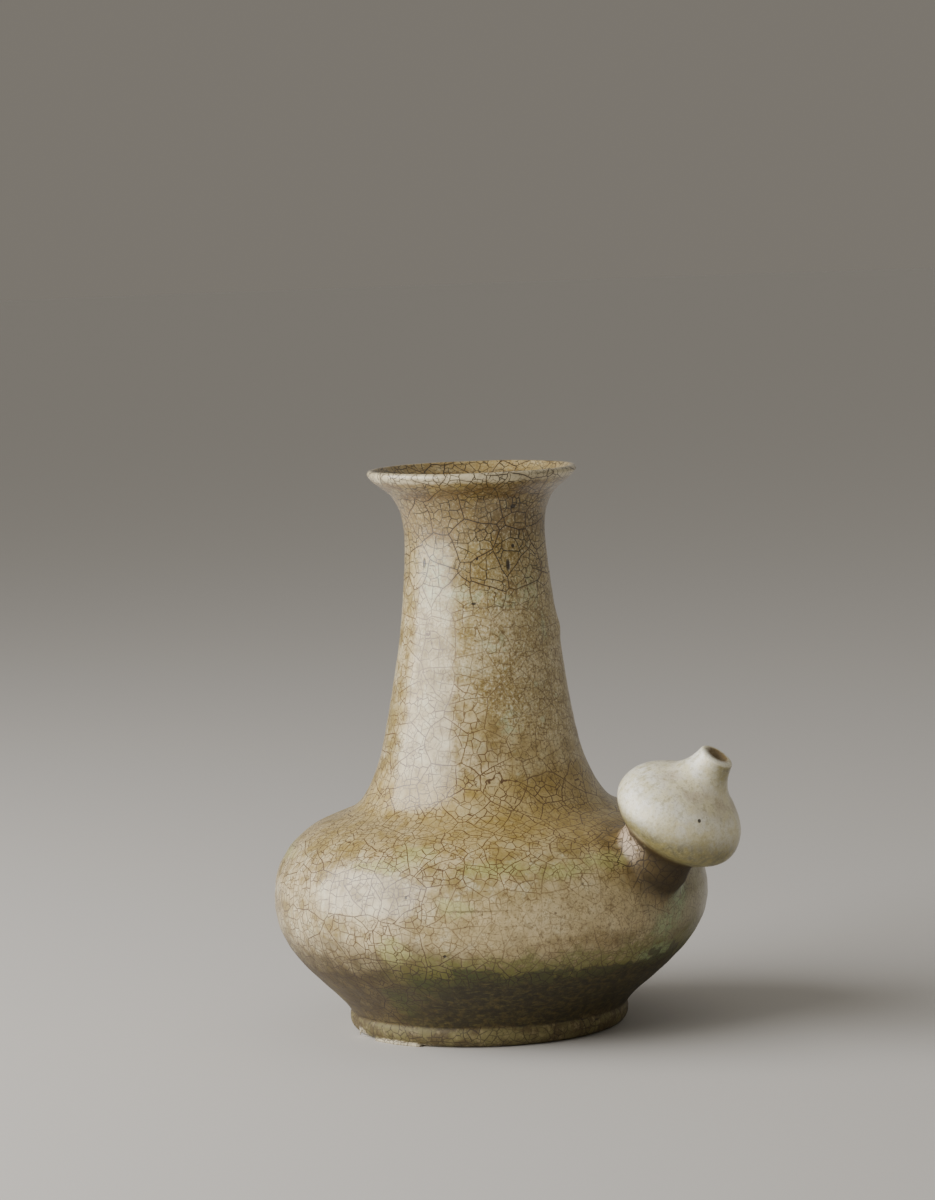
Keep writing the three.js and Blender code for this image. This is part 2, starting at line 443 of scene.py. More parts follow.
def unevenness_at(place):
    """How far the made wall stands off the true outline at a place, outwards being more than nothing."""
    off = swelling * noise.noise(place / swelling_size)
    off += dimpling * noise.noise(place / dimpling_size + dimpling_shift)
    phase = math.tau * place.z / ring_pitch + ring_wander * noise.noise(place / ring_wander_size)
    strength = ring_strength + noise.noise(Vector((3.0, 1.0, place.z / ring_change)))
    off += ring_depth * math.sin(phase) * strength
    along = Vector((place.x / ledge_length, place.y / ledge_length, place.z / ledge_pitch))
    off += ledge_depth * noise.noise(along) * nearness(place.z - ledge_height, ledge_reach)
    off -= belly_inset * nearness(place.z - belly_height, belly_inset_reach)
    off -= lip_inset * nearness(place.z - height, lip_inset_reach)
    standing = min(1.0, max(0.0, (place.z - true_foot_height) / true_foot_fade))
    return off * standing


def lump_at(place):
    """How far the lump on the neck stands out at a place."""
    out = Vector((math.cos(math.radians(lump_azimuth)), math.sin(math.radians(lump_azimuth)), 0.0))
    middle = out * wall_radius_at(lump_level) + Vector((0.0, 0.0, lump_level))
    return lump_height * math.exp(-(((place - middle).length / lump_size) ** 2) * lump_steepness)


spout_value = form.verts.layers.float.new("on_spout")
way_value = form.verts.layers.float.new("up_spout")
bore_value = form.verts.layers.float.new("in_passage")
form.normal_update()
moves = []
for vert in form.verts:
    place = off_spout @ vert.co
    vert[way_value] = place.z
    near_spout = (vert.co - spout_root).length < spout_reach
    if near_spout and spout_skin.find_nearest(vert.co, spout_skin_reach)[3] is not None:
        vert[spout_value] = min(1.0, body_skin.find_nearest(vert.co)[3] / spout_blend)
        if place.z > bulb_place and Vector((place.x, place.y)).length < pouring_bore + bore_margin:
            vert[bore_value] = 1.0
    off = unevenness_at(vert.co) + lump_at(vert.co)
    share = vert[spout_value]
    moves.append(off * (1.0 - share) + (spout_unevenness * off - spout_inset) * share)
for vert, off in zip(form.verts, moves):
    vert.co += vert.normal * off
form.to_mesh(vessel.data)
form.free()

# The torn edge of the foot.
# Glaze has run under the foot at the left and come away with a thin ragged edge, and beside it a short drip
# stands on the foot as a small tooth.
torn_start = -109.0
torn_end = -83.5
torn_steps = 60
torn_inset = 1.0 * mm
torn_bulge = 0.2 * mm
torn_bulge_height = 0.54 * mm
torn_slope = 0.6 * mm
torn_top = 1.7 * mm
torn_reach = 0.5 * mm
torn_edge_width = 0.3 * mm
torn_edge_height = 1.2 * mm
tear_size = 1.7 * mm
nick_size = 0.7 * mm
nick_share = 0.6
tooth_azimuth = -120.0
tooth_tilt = -14.0
tooth_radius = 1.0 * mm
tooth_point = 0.12 * mm
tooth_length = 4.2 * mm
tooth_height = 2.9 * mm
tooth_inset = 0.2 * mm
tooth_sides = 12


def torn_glaze():
    """A thin torn strip of glaze round part of the foot's lower edge."""
    form = bmesh.new()
    inner = foot_radius - foot_rounding
    outer = foot_radius - torn_inset
    corners = [
        (inner, 0.0),
        (outer, 0.0),
        (outer + torn_bulge, torn_bulge_height),
        (outer - torn_slope, torn_top),
        (inner, torn_top),
    ]
    face = form.faces.new([form.verts.new((x, 0.0, z)) for x, z in corners])
    start = Matrix.Rotation(math.radians(torn_start), 3, "Z")
    bmesh.ops.rotate(form, verts=form.verts, cent=(0, 0, 0), matrix=start)
    bmesh.ops.spin(form, geom=[face] + face.edges[:] + face.verts[:], cent=(0, 0, 0), axis=(0, 0, 1),
                   angle=math.radians(torn_end - torn_start), steps=torn_steps)
    bmesh.ops.recalc_face_normals(form, faces=form.faces)
    for vert in form.verts:
        out = Vector((vert.co.x, vert.co.y, 0.0))
        if out.length > outer - torn_edge_width and vert.co.z < torn_edge_height:
            tear = noise.noise(vert.co / tear_size) + nick_share * noise.noise(vert.co / nick_size)
            vert.co += out.normalized() * torn_reach * tear
    return form


def glaze_tooth():
    """A drip of glaze, its point down."""
    form = bmesh.new()
    bmesh.ops.create_cone(form, cap_ends=True, segments=tooth_sides, radius1=tooth_point,
                          radius2=tooth_radius, depth=tooth_length)
    place = (
        Matrix.Rotation(math.radians(tooth_azimuth), 4, "Z")
        @ Matrix.Translation((foot_radius - tooth_inset, 0.0, tooth_height))
        @ Matrix.Rotation(math.radians(tooth_tilt), 4, "Y")
    )
    bmesh.ops.transform(form, matrix=place, verts=form.verts)
    return form


combined(vessel, as_object(torn_glaze(), "torn_glaze"), "UNION")
combined(vessel, as_object(glaze_tooth(), "tooth"), "UNION")

# The celadon glaze.
# A thin feldspar glaze over the stoneware, fired to a soft gloss. It is buff and ochre where thin, pools
# green on the ledges of the throwing, runs cream over the spout, and has crazed, with brown in the cracks.
glaze = bpy.data.materials.new("celadon_glaze")
glaze.use_nodes = True
glaze_tree = glaze.node_tree


def tone(red, green, blue):
    """A colour given as it is seen on a screen, from 0 to 255, in the linear values that a shader needs."""
    shares = [part / 255.0 for part in (red, green, blue)]
    return tuple(s / 12.92 if s <= 0.04045 else ((s + 0.055) / 1.055) ** 2.4 for s in shares) + (1.0,)


def filled(node, inputs):
    """Gives each named or numbered input of a node a value or a link."""
    for socket, value in inputs.items():
        if isinstance(value, bpy.types.NodeSocket):
            node.id_data.links.new(value, node.inputs[socket])
        elif value is not None:
            node.inputs[socket].default_value = value
    return node


def put(tree, kind, inputs, **settings):
    """Adds a node to a tree, sets its options and fills its inputs."""
    node = tree.nodes.new("ShaderNode" + kind)
    for option, value in settings.items():
        setattr(node, option, value)
    return filled(node, inputs)


def tree_of(values):
    return next(value.id_data for value in values if isinstance(value, bpy.types.NodeSocket))


def sums(operation, *values):
    """The result of a sum with numbers, made in the tree that they come from."""
    return put(tree_of(values), "Math", dict(enumerate(values)), operation=operation).outputs[0]


def plus(*values):
    return functools.reduce(lambda a, b: sums("ADD", a, b), values)


def times(*values):
    return functools.reduce(lambda a, b: sums("MULTIPLY", a, b), values)


def highest(values):
    return functools.reduce(lambda a, b: sums("MAXIMUM", a, b), values)


def minus(first, second):
    return sums("SUBTRACT", first, second)


def without(mask, other, share=1.0):
    """A mask thinned where another one is strong."""
    return times(mask, minus(1.0, times(other, share)))


def vectors(operation, *values):
    """The result of a sum with vectors: a number for a dot product, and a vector otherwise."""
    node = put(tree_of(values), "VectorMath", dict(enumerate(values)), operation=operation)
    return node.outputs["Value" if operation == "DOT_PRODUCT" else "Vector"]


def scaled(vector, number):
    node = put(vector.id_data, "VectorMath", {0: vector, "Scale": number}, operation="SCALE")
    return node.outputs["Vector"]


def fade(value, start, end):
    """0 at the start, 1 at the end, and a soft step between. The start may be above the end."""
    inputs = {"Value": value, "From Min": start, "From Max": end}
    return put(tree_of([value]), "MapRange", inputs, interpolation_type="SMOOTHSTEP").outputs["Result"]


def noise_in(vector, size, detail, roughness=0.55):
    """Noise with blotches of about a size in metres."""
    inputs = {"Vector": vector, "Scale": 1.0 / size, "Detail": detail, "Roughness": roughness}
    return put(vector.id_data, "TexNoise", inputs)


def over(under, share, above):
    """One colour laid over another."""
    return put(tree_of([under, share]), "Mix", {0: share, 6: under, 7: above}, data_type="RGBA").outputs[2]


def layered(colour, layers):
    """A colour with others laid over it in turn, each given with its share."""
    for share, above in layers:
        colour = over(colour, share, above)
    return colour


def shader_group(name, inputs, outputs):
    """An empty node group with named inputs and outputs."""
    group = bpy.data.node_groups.new(name, "ShaderNodeTree")
    for label, kind, value in inputs:
        socket = group.interface.new_socket(label, in_out="INPUT", socket_type="NodeSocket" + kind)
        if value is not None:
            socket.default_value = value
    for label, kind in outputs:
        group.interface.new_socket(label, in_out="OUTPUT", socket_type="NodeSocket" + kind)
    return group, group.nodes.new("NodeGroupInput").outputs, group.nodes.new("NodeGroupOutput")


def use(group, inputs):
    """Places a group in the glaze."""
    node = glaze_tree.nodes.new("ShaderNodeGroup")
    node.node_tree = group
    return filled(node, inputs).outputs


def crack_net_group():
    """One generation of cracks, on the walls between scattered points.

    It gives the distance along the surface to the nearest crack, the direction across that crack, and a
    colour and a middle for each cell. A shift that is the same all over a cell of the generation before makes
    the finer cracks end at the older ones.
    """
    steepest_slant = 0.06
    group, given, result = shader_group(
        "crack net",
        [("Vector", "Vector", None), ("Normal", "Vector", None), ("Cell", "Float", 0.004),
         ("Shift", "Vector", None), ("Unevenness", "Float", 0.85)],
        [("Distance", "Float"), ("Across", "Vector"), ("Cell Colour", "Color"), ("Middle", "Vector")],
    )
    place = vectors("ADD", scaled(given["Vector"], sums("DIVIDE", 1.0, given["Cell"])), given["Shift"])
    inputs = {"Vector": place, "Scale": 1.0, "Randomness": given["Unevenness"]}
    nearest = put(group, "TexVoronoi", inputs, feature="F1").outputs
    second = put(group, "TexVoronoi", inputs, feature="F2").outputs
    across = vectors("NORMALIZE", vectors("SUBTRACT", second["Position"], nearest["Position"]))
    halfway = scaled(vectors("ADD", second["Position"], nearest["Position"]), 0.5)
    gap = vectors("DOT_PRODUCT", vectors("SUBTRACT", halfway, place), across)
    tilt = vectors("DOT_PRODUCT", across, given["Normal"])
    lean = sums("SQRT", sums("MAXIMUM", minus(1.0, times(tilt, tilt)), steepest_slant))
    along_skin = vectors("NORMALIZE", vectors("SUBTRACT", across, scaled(given["Normal"], tilt)))
    middle = scaled(vectors("SUBTRACT", nearest["Position"], given["Shift"]), given["Cell"])
    filled(result, {
        "Distance": times(sums("DIVIDE", gap, lean), given["Cell"]),
        "Across": along_skin,
        "Cell Colour": nearest["Color"],
        "Middle": middle,
    })
    return group


def patch_group():
    """An oval patch on the wall, placed by its azimuth in degrees and its height, with a ragged edge."""
    group, given, result = shader_group(
        "patch",
        [("Vector", "Vector", None), ("Azimuth", "Float", 0.0), ("Height", "Float", 0.05),
         ("Half Width", "Float", 0.01), ("Half Height", "Float", 0.01), ("Ragged", "Float", 0.5),
         ("Grain", "Float", 0.004), ("Softness", "Float", 0.3)],
        [("Mask", "Float")],
    )
    axes = put(group, "SeparateXYZ", {0: given["Vector"]}).outputs
    turn = minus(sums("ARCTAN2", axes["Y"], axes["X"]), sums("RADIANS", given["Azimuth"]))
    turn = sums("WRAP", turn, math.pi, -math.pi)
    out = sums("SQRT", plus(times(axes["X"], axes["X"]), times(axes["Y"], axes["Y"])))
    along = sums("DIVIDE", times(turn, out), given["Half Width"])
    up = sums("DIVIDE", minus(axes["Z"], given["Height"]), given["Half Height"])
    oval = sums("SQRT", plus(times(along, along), times(up, up)))
    inputs = {"Vector": given["Vector"], "Scale": sums("DIVIDE", 1.0, given["Grain"]), "Detail": 3.0}
    grain = put(group, "TexNoise", inputs).outputs["Fac"]
    edge = plus(oval, times(minus(grain, 0.5), given["Ragged"], 4.0))
    mask = fade(edge, plus(1.0, given["Softness"]), minus(1.0, given["Softness"]))
    filled(result, {"Mask": mask})
    return group


def band_group():
    """A band round the vessel between two heights, with wandering edges."""
    group, given, result = shader_group(
        "band",
        [("Vector", "Vector", None), ("Low", "Float", 0.0), ("High", "Float", 0.01),
         ("Softness", "Float", 0.002), ("Wander", "Float", 0.004), ("Grain", "Float", 0.01)],
        [("Mask", "Float")],
    )
    inputs = {"Vector": given["Vector"], "Scale": sums("DIVIDE", 1.0, given["Grain"]), "Detail": 3.0}
    grain = put(group, "TexNoise", inputs).outputs["Fac"]
    level = plus(
        put(group, "SeparateXYZ", {0: given["Vector"]}).outputs["Z"],
        times(minus(grain, 0.5), given["Wander"], 4.0),
    )
    soft = given["Softness"]
    above = fade(level, minus(given["Low"], soft), plus(given["Low"], soft))
    below = fade(level, plus(given["High"], soft), minus(given["High"], soft))
    filled(result, {"Mask": times(above, below)})
    return group


def specks_group():
    """Small round specks, some of them missing."""
    group, given, result = shader_group(
        "specks",
        [("Vector", "Vector", None), ("Spacing", "Float", 0.004), ("Radius", "Float", 0.0004),
         ("Present", "Float", 0.5)],
        [("Mask", "Float")],
    )
    inputs = {"Vector": given["Vector"], "Scale": sums("DIVIDE", 1.0, given["Spacing"])}
    nearest = put(group, "TexVoronoi", inputs, feature="F1").outputs
    share = put(group, "SeparateColor", {0: nearest["Color"]}).outputs
    radius = times(given["Radius"], plus(0.5, share["Green"]))
    near = fade(times(nearest["Distance"], given["Spacing"]), radius, times(radius, 0.5))
    filled(result, {"Mask": times(near, sums("LESS_THAN", share["Red"], given["Present"]))})
    return group


crack_net = crack_net_group()
patch = patch_group()
band = band_group()
specks = specks_group()
spot = put(glaze_tree, "TexCoord", {}).outputs["Object"]
facing = put(glaze_tree, "NewGeometry", {}).outputs["Normal"]


def sway(size, reach):
    """A shift that wanders from place to place, in blotches of about a size."""
    wander = vectors("SUBTRACT", noise_in(spot, size, 1.0).outputs["Color"], (0.5, 0.5, 0.5))
    return scaled(wander, reach)


# A slow and a quick sway keep cracks and specks from being quite straight or round.
swayed = vectors("ADD", vectors("ADD", spot, sway(10.0 * mm, 2.6 * mm)), sway(1.8 * mm, 0.35 * mm))


def patch_mask(azimuth, level, half_width, half_height, ragged=0.5, grain=4.0, softness=0.3):
    """A patch of glaze, its sizes given in millimetres."""
    return use(patch, {
        "Vector": spot,
        "Azimuth": azimuth,
        "Height": level * mm,
        "Half Width": half_width * mm,
        "Half Height": half_height * mm,
        "Ragged": ragged,
        "Grain": grain * mm,
        "Softness": softness,
    })["Mask"]


def band_mask(low, high, softness, wander, grain):
    """A band of glaze, its sizes given in millimetres."""
    return use(band, {
        "Vector": spot,
        "Low": low * mm,
        "High": high * mm,
        "Softness": softness * mm,
        "Wander": wander * mm,
        "Grain": grain * mm,
    })["Mask"]


def patches(places, **finish):
    return highest([patch_mask(*place, **finish) for place in places])


def speck_mask(spacing, radius, present):
    """Specks of glaze or stain, their sizes given in millimetres."""
    inputs = {"Vector": swayed, "Spacing": spacing * mm, "Radius": radius * mm, "Present": present}
    return use(specks, inputs)["Mask"]


def moved(offset):
    """The place on the ewer shifted, so that one noise doesn't follow another."""
    return vectors("ADD", spot, (offset, 0.7 * offset, -1.3 * offset))


def kept(name):
    """A value that is kept on the mesh."""
    return put(glaze_tree, "Attribute", {}, attribute_name=name).outputs["Fac"]


# Where the glaze changes, and where shade and light are painted into its colour.
# Azimuths are in degrees round from the side of the spout, and the view shows -143 to 37. Heights and sizes
# are in millimetres. A band is given by its low and high edge, their softness and wander, and its grain, and
# a patch by its azimuth, height, half width and half height, and by how ragged, grained and soft it is.
on_spout = kept("on_spout")
up_spout = kept("up_spout")
in_passage = kept("in_passage")
level = put(glaze_tree, "SeparateXYZ", {0: spot}).outputs["Z"]
up_or_down = put(glaze_tree, "SeparateXYZ", {0: facing}).outputs["Z"]
outwards = vectors("NORMALIZE", vectors("MULTIPLY", spot, (1.0, 1.0, 0.0)))
inside = fade(vectors("DOT_PRODUCT", facing, outwards), 0.15, -0.25)
drift = noise_in(moved(1.7), 8.0 * mm, 2.0).outputs["Fac"]
to_root = put(glaze_tree, "VectorMath", {0: spot, 1: spout_root}, operation="DISTANCE")
root_distance = to_root.outputs["Value"]
# Round the spout's root the wall and its cracks are darkened brown: partly ochre stain, partly painted shade.
round_root = fade(root_distance, 24.0 * mm, 14.0 * mm)
# Below the spout's root the wall is darkened as painted shadow under the bulb.
painted_shadow_under_spout = times(fade(root_distance, 18.0 * mm, 11.0 * mm), fade(level, 76.0 * mm, 64.0 * mm))
neck_top = band_mask(158.0, 230.0, 9.0, 4.0, 14.0)
lip_roll = without(band_mask(196.3, 230.0, 0.6, 0.5, 5.0), inside)
# Below the lip's roll a brown band: partly stain, partly painted shade under the roll.
lip_stain_and_shade = band_mask(190.0, 196.0, 1.2, 1.4, 3.5)
flare = band_mask(175.0, 194.0, 4.0, 2.0, 8.0)
shoulder = band_mask(70.0, 94.0, 6.0, 4.0, 12.0)
left_side = patch_mask(-115.0, 60.0, 62.0, 46.0, 0.08, 14.0, 0.5)
neck_right = patch_mask(-12.0, 132.0, 24.0, 50.0, 0.12, 9.0, 0.55)
belly_right = patch_mask(-18.0, 46.0, 66.0, 15.0, 0.12, 9.0, 0.5)
grainy = highest([neck_right, belly_right])
# Towards the bottom the wall and its cracks darken to olive brown: partly the glaze, partly painted shade.
low_level = plus(level, times(minus(drift, 0.5), 16.0 * mm))
thin_low = patch_mask(-18.0, 38.0, 60.0, 8.5, 0.12, 8.0, 0.25)
low = without(fade(low_level, 46.0 * mm, 27.0 * mm), thin_low, 0.4)
# The dark band low on the front is olive glaze darkened further as painted shade.
dark_band = times(
    band_mask(6.8, 26.0, 1.0, 4.0, 9.0),
    patch_mask(-14.0, 12.0, 62.0, 70.0, 0.07, 6.0, 0.12),
)
dark_rim = times(
    band_mask(18.0, 30.0, 0.8, 5.0, 7.0),
    patch_mask(-18.0, 28.0, 66.0, 60.0, 0.08, 6.0, 0.16),
)
green_rim = times(
    band_mask(26.0, 37.0, 2.4, 4.0, 8.0),
    patch_mask(-20.0, 28.0, 70.0, 60.0, 0.1, 8.0, 0.2),
)
green_right = patch_mask(18.0, 40.0, 34.0, 22.0, 0.3, 7.0, 0.5)
foot = band_mask(-5.0, 7.0, 0.5, 0.4, 4.0)
torn = patches([(-96.0, 0.2, 13.0, 1.3), (-120.0, 1.4, 3.0, 2.2)], ragged=0.15, grain=2.0, softness=0.3)
# Low on the right of the belly, pale green patches: partly green glaze, partly a painted glint.
green_glaze_and_glint = patches(
    [
        (0.0, 42.0, 6.0, 5.0),
        (5.0, 50.0, 5.0, 7.0),
        (2.0, 31.0, 9.0, 3.0),
    ],
    ragged=0.6, grain=4.0, softness=0.6,
)
dark_pools = patches(
    [
        (-73.0, 27.0, 4.0, 3.5),
        (-84.0, 17.0, 5.0, 6.0),
        (-60.0, 30.0, 4.0, 2.0),
    ],
    ragged=0.6, grain=4.0, softness=0.6,
)
green_pools = patches(
    [
        (-74.4, 70.5, 7.0, 2.6),
        (-84.0, 66.5, 9.0, 1.8),
        (-50.0, 66.0, 12.0, 2.2),
        (-31.0, 64.0, 8.0, 2.4),
        (-17.0, 66.0, 9.0, 2.6),
        (-79.0, 39.0, 6.0, 4.0),
        (-62.0, 54.0, 6.0, 3.0),
        (-150.0, 66.0, 22.0, 3.0),
        (110.0, 64.0, 26.0, 3.0),
    ],
    ragged=0.5, grain=4.0, softness=0.5,
)
pale_pools = patches(
    [
        (-57.0, 156.5, 7.0, 2.6),
        (-28.0, 153.5, 7.0, 2.0),
        (-8.0, 157.0, 4.0, 6.0),
        (3.0, 144.0, 2.6, 4.0),
        (-40.0, 140.0, 4.0, 3.0),
        (-88.0, 162.0, 5.0, 8.0),
        (-34.0, 112.0, 3.0, 5.0),
        (150.0, 130.0, 6.0, 12.0),
    ],
    ragged=0.8, grain=2.6, softness=0.7,
)
brown_patches = patches(
    [
        (-55.0, 163.0, 7.0, 5.0),
        (-30.0, 170.0, 10.0, 6.0),
        (-42.0, 124.0, 6.0, 8.0),
        (-20.0, 90.0, 12.0, 4.0),
        (-46.0, 108.0, 5.0, 8.0),
        (-24.0, 40.0, 20.0, 3.5),
        (-12.0, 76.0, 24.0, 5.0),
        (120.0, 100.0, 20.0, 12.0),
    ],
    ragged=0.6, grain=5.0, softness=0.6,
)

# Its colours, from the buff of the thin glaze to the stains and the painted shade and light laid over it.
broad = noise_in(spot, 24.0 * mm, 3.0).outputs["Fac"]
small = noise_in(moved(0.31), 5.5 * mm, 4.0, 0.62).outputs["Fac"]
mottle = noise_in(moved(0.57), 2.6 * mm, 3.0, 0.65).outputs["Fac"]
fine = noise_in(moved(0.83), 0.85 * mm, 3.0, 0.7).outputs["Fac"]
blotch = noise_in(vectors("MULTIPLY", moved(1.1), (0.8, 0.8, 1.3)), 10.0 * mm, 3.0, 0.55).outputs["Fac"]
streaks = vectors("MULTIPLY", spot, (0.2, 0.2, 1.0))
scratches = fade(noise_in(streaks, 0.8 * mm, 3.0, 0.7).outputs["Fac"], 0.5, 0.7)
buff = over(tone(180, 161, 108), fade(broad, 0.38, 0.62), tone(197, 181, 138))
root_colour = over(tone(92, 68, 12), fade(small, 0.4, 0.62), tone(128, 102, 38))
low_colour = over(tone(56, 43, 14), fade(small, 0.45, 0.65), tone(80, 66, 26))
band_colour = over(tone(40, 34, 12), fade(mottle, 0.42, 0.66), tone(72, 64, 28))
band_colour = over(band_colour, times(scratches, 0.65), tone(100, 92, 48))
foot_colour = over(tone(88, 75, 42), fade(small, 0.42, 0.6), tone(114, 106, 64))
foot_colour = over(foot_colour, times(fade(mottle, 0.52, 0.7), 0.5), tone(168, 156, 116))
colour = layered(
    buff,
    [
        (times(left_side, 0.5), tone(192, 176, 142)),
        (times(fade(blotch, 0.52, 0.66), 0.55), tone(214, 196, 154)),
        (times(fade(blotch, 0.5, 0.36), 0.7), tone(142, 122, 60)),
        (times(fade(small, 0.5, 0.7), 0.6), tone(218, 212, 176)),
        (times(fade(small, 0.5, 0.34), 0.7), tone(136, 114, 52)),
        # The right of the neck and of the belly are lightened: partly buff glaze, partly painted fill light
        # on the side away from the window.
        (times(neck_right, 0.36), tone(186, 166, 120)),
        (times(belly_right, 0.6), tone(210, 190, 146)),
        (times(neck_top, 0.4), tone(148, 128, 76)),
        # The flare below the lip is darkened brown: partly stain, partly painted shade.
        (times(flare, fade(small, 0.25, 0.55), 0.72), tone(108, 86, 46)),
        # The inside of the mouth is darkened ochre: partly glaze, partly painted shade.
        (times(inside, 0.4), tone(160, 134, 82)),
        (times(brown_patches, fade(mottle, 0.25, 0.5), 0.58), tone(130, 108, 44)),
        (times(shoulder, 0.5), tone(172, 146, 74)),
        (times(round_root, 0.82), root_colour),
        (times(painted_shadow_under_spout, 0.7), tone(60, 48, 22)),
        (times(low, 0.93), low_colour),
        (times(green_right, 0.6), tone(94, 102, 66)),
        (times(pale_pools, fade(mottle, 0.4, 0.6), 0.6), tone(196, 206, 164)),
        (times(green_pools, fade(mottle, 0.26, 0.5), 0.62), tone(182, 182, 112)),
        (times(green_rim, fade(mottle, 0.3, 0.5), 0.7), tone(112, 114, 46)),
        (times(green_glaze_and_glint, fade(mottle, 0.3, 0.55), 0.6), tone(150, 176, 128)),
        (times(dark_rim, 0.85), tone(62, 64, 28)),
        (times(dark_pools, 0.6), tone(62, 72, 24)),
        (times(dark_band, 0.94), band_colour),
        (times(foot, 0.88), foot_colour),
        (times(torn, 0.8), tone(206, 196, 170)),
        (times(lip_roll, 0.78), tone(214, 203, 170)),
        (times(lip_stain_and_shade, fade(small, 0.36, 0.54), 0.75), tone(106, 80, 38)),
    ],
)

# The spout's cream, stained ochre and darkened with painted shade underneath, stained ochre at its root and
# where the tip is drawn out of the bulb, with painted shade on its right and a painted highlight on the left
# of the stalk.
highlit_direction = (-0.42, -0.84, 0.34)
shaded_direction = (0.9, -0.3, -0.3)
tip_root = times(fade(up_spout, 28.0 * mm, 32.0 * mm), fade(up_spout, 37.0 * mm, 33.0 * mm))
stalk = fade(up_spout, 10.5 * mm, 7.0 * mm)
pale_and_highlit_side = fade(vectors("DOT_PRODUCT", facing, highlit_direction), 0.62, 0.92)
shaded_side = fade(vectors("DOT_PRODUCT", facing, shaded_direction), 0.0, 0.85)
under_stain_and_shade = times(fade(up_or_down, 0.2, -0.55), fade(broad, 0.15, 0.4))
cream = layered(
    over(tone(238, 230, 194), fade(small, 0.36, 0.62), tone(252, 250, 235)),
    [
        (times(fade(mottle, 0.48, 0.66), 0.45), tone(202, 194, 144)),
        (times(shaded_side, fade(mottle, 0.66, 0.34), 0.36), tone(204, 190, 134)),
        # Downward faces of the bulb darken to ochre and olive: partly stain, partly painted shade.
        (times(under_stain_and_shade, 0.9), tone(92, 86, 46)),
        (times(fade(up_or_down, 0.4, -0.5), fade(mottle, 0.66, 0.36), 0.6), tone(162, 150, 88)),
        (times(tip_root, fade(small, 0.4, 0.6), 0.5), tone(176, 150, 92)),
        # The stalk is stained ochre and darkened further as painted shade under the bulb, and its downward
        # face is darker still as painted shadow.
        (times(stalk, 0.95), tone(102, 80, 32)),
        (times(stalk, fade(up_or_down, 0.35, -0.5), 0.85), tone(50, 40, 18)),
        # On the stalk's left, towards the window, a pale pink: partly thin glaze, partly painted highlight.
        (times(stalk, pale_and_highlit_side, fade(mottle, 0.3, 0.55), 0.8), tone(208, 186, 160)),
        (times(in_passage, 0.85), tone(140, 110, 56)),
    ],
)
colour = over(colour, on_spout, cream)

# Fine grain and specks, strongest on the right of the neck and of the belly.
grain_share = plus(0.45, times(neck_right, 0.75), times(belly_right, 0.55))
grain_share = without(grain_share, on_spout, 0.5)
dark_places = highest([dark_band, dark_rim, stalk])
pale_grain = times(fade(fine, 0.5, 0.32), grain_share, minus(1.0, dark_places), 0.6)
flecks = times(speck_mask(6.0, 1.0, 0.4), neck_right)
colour = layered(
    colour,
    [
        (pale_grain, tone(220, 214, 184)),
        (times(fade(fine, 0.5, 0.7), grain_share, 0.75), tone(92, 72, 36)),
        (times(fade(mottle, 0.52, 0.74), grain_share, 0.6), tone(108, 84, 40)),
        (times(speck_mask(5.6, 0.4, 0.4), 0.7), tone(66, 48, 28)),
        (times(flecks, 0.5), tone(200, 204, 168)),
    ],
)

# The crazing. The glaze cracks widely first, and its cells then crack twice more. Each generation has its own
# size of cell and half width of line, and a shift of many cells keeps neighbouring cells from cracking alike.
oldest_cell = 12.5 * mm
middle_cell = 3.0 * mm
middle_cell_spread = 0.9 * mm
young_cell_share = 0.6
old_line = 0.27 * mm
middle_line = 0.25 * mm
young_line = 0.2 * mm
apart = 40.0


def net(cell, unevenness, parent=None):
    """A generation of cracks inside the cells of its parent."""
    shift = scaled(parent["Cell Colour"], apart) if parent else None
    inputs = {"Vector": swayed, "Normal": facing, "Cell": cell, "Shift": shift, "Unevenness": unevenness}
    return use(crack_net, inputs)


def chance(cells, part="Red"):
    """A random share that is the same all over a cell."""
    return put(glaze_tree, "SeparateColor", {0: cells["Cell Colour"]}).outputs[part]


def line(cells, half_width):
    return fade(cells["Distance"], half_width, 0.3 * half_width)


def ends_on(young, old):
    """1, but 0 where a young crack would run close beside an old one."""
    alike = sums("ABSOLUTE", vectors("DOT_PRODUCT", young["Across"], old["Across"]))
    beside = times(fade(alike, 0.55, 0.8), fade(old["Distance"], 1.5 * mm, 0.8 * mm))
    return minus(1.0, beside)


oldest = net(oldest_cell, 0.9)
cell_level = put(glaze_tree, "SeparateXYZ", {0: oldest["Middle"]}).outputs["Z"]
wide_cells = fade(cell_level, 120.0 * mm, 160.0 * mm)
close_cells = fade(cell_level, 164.0 * mm, 178.0 * mm)
cell_size = plus(
    middle_cell,
    times(wide_cells, 1.0 * mm),
    times(close_cells, -1.0 * mm),
    times(chance(oldest), middle_cell_spread),
)
middle = net(cell_size, 0.62, oldest)
young = net(times(cell_size, young_cell_share), 0.75, middle)
old_lines = line(oldest, old_line)
middle_share = plus(0.6, times(fade(drift, 0.35, 0.55), 0.4))
middle_lines = times(line(middle, middle_line), ends_on(middle, oldest), middle_share)
split = sums("LESS_THAN", chance(middle, "Green"), 0.5)
young_lines = times(line(young, young_line), ends_on(young, middle), ends_on(young, oldest), split, 0.75)
cracks = highest([old_lines, middle_lines, young_lines])
crack_share = plus(
    0.86,
    times(neck_top, 0.4),
    times(shoulder, 0.35),
    times(left_side, 0.35),
    times(without(neck_right, neck_top), -0.3),
    times(belly_right, -0.5),
    times(round_root, 0.3),
    times(low, 0.35),
    times(foot, -0.5),
    times(minus(drift, 0.5), 0.8),
)
crack_share = sums("MINIMUM", sums("MAXIMUM", crack_share, 0.08), 1.0)
crack_share = without(crack_share, without(on_spout, stalk), 0.92)
crack_share = without(crack_share, dark_band, 0.6)
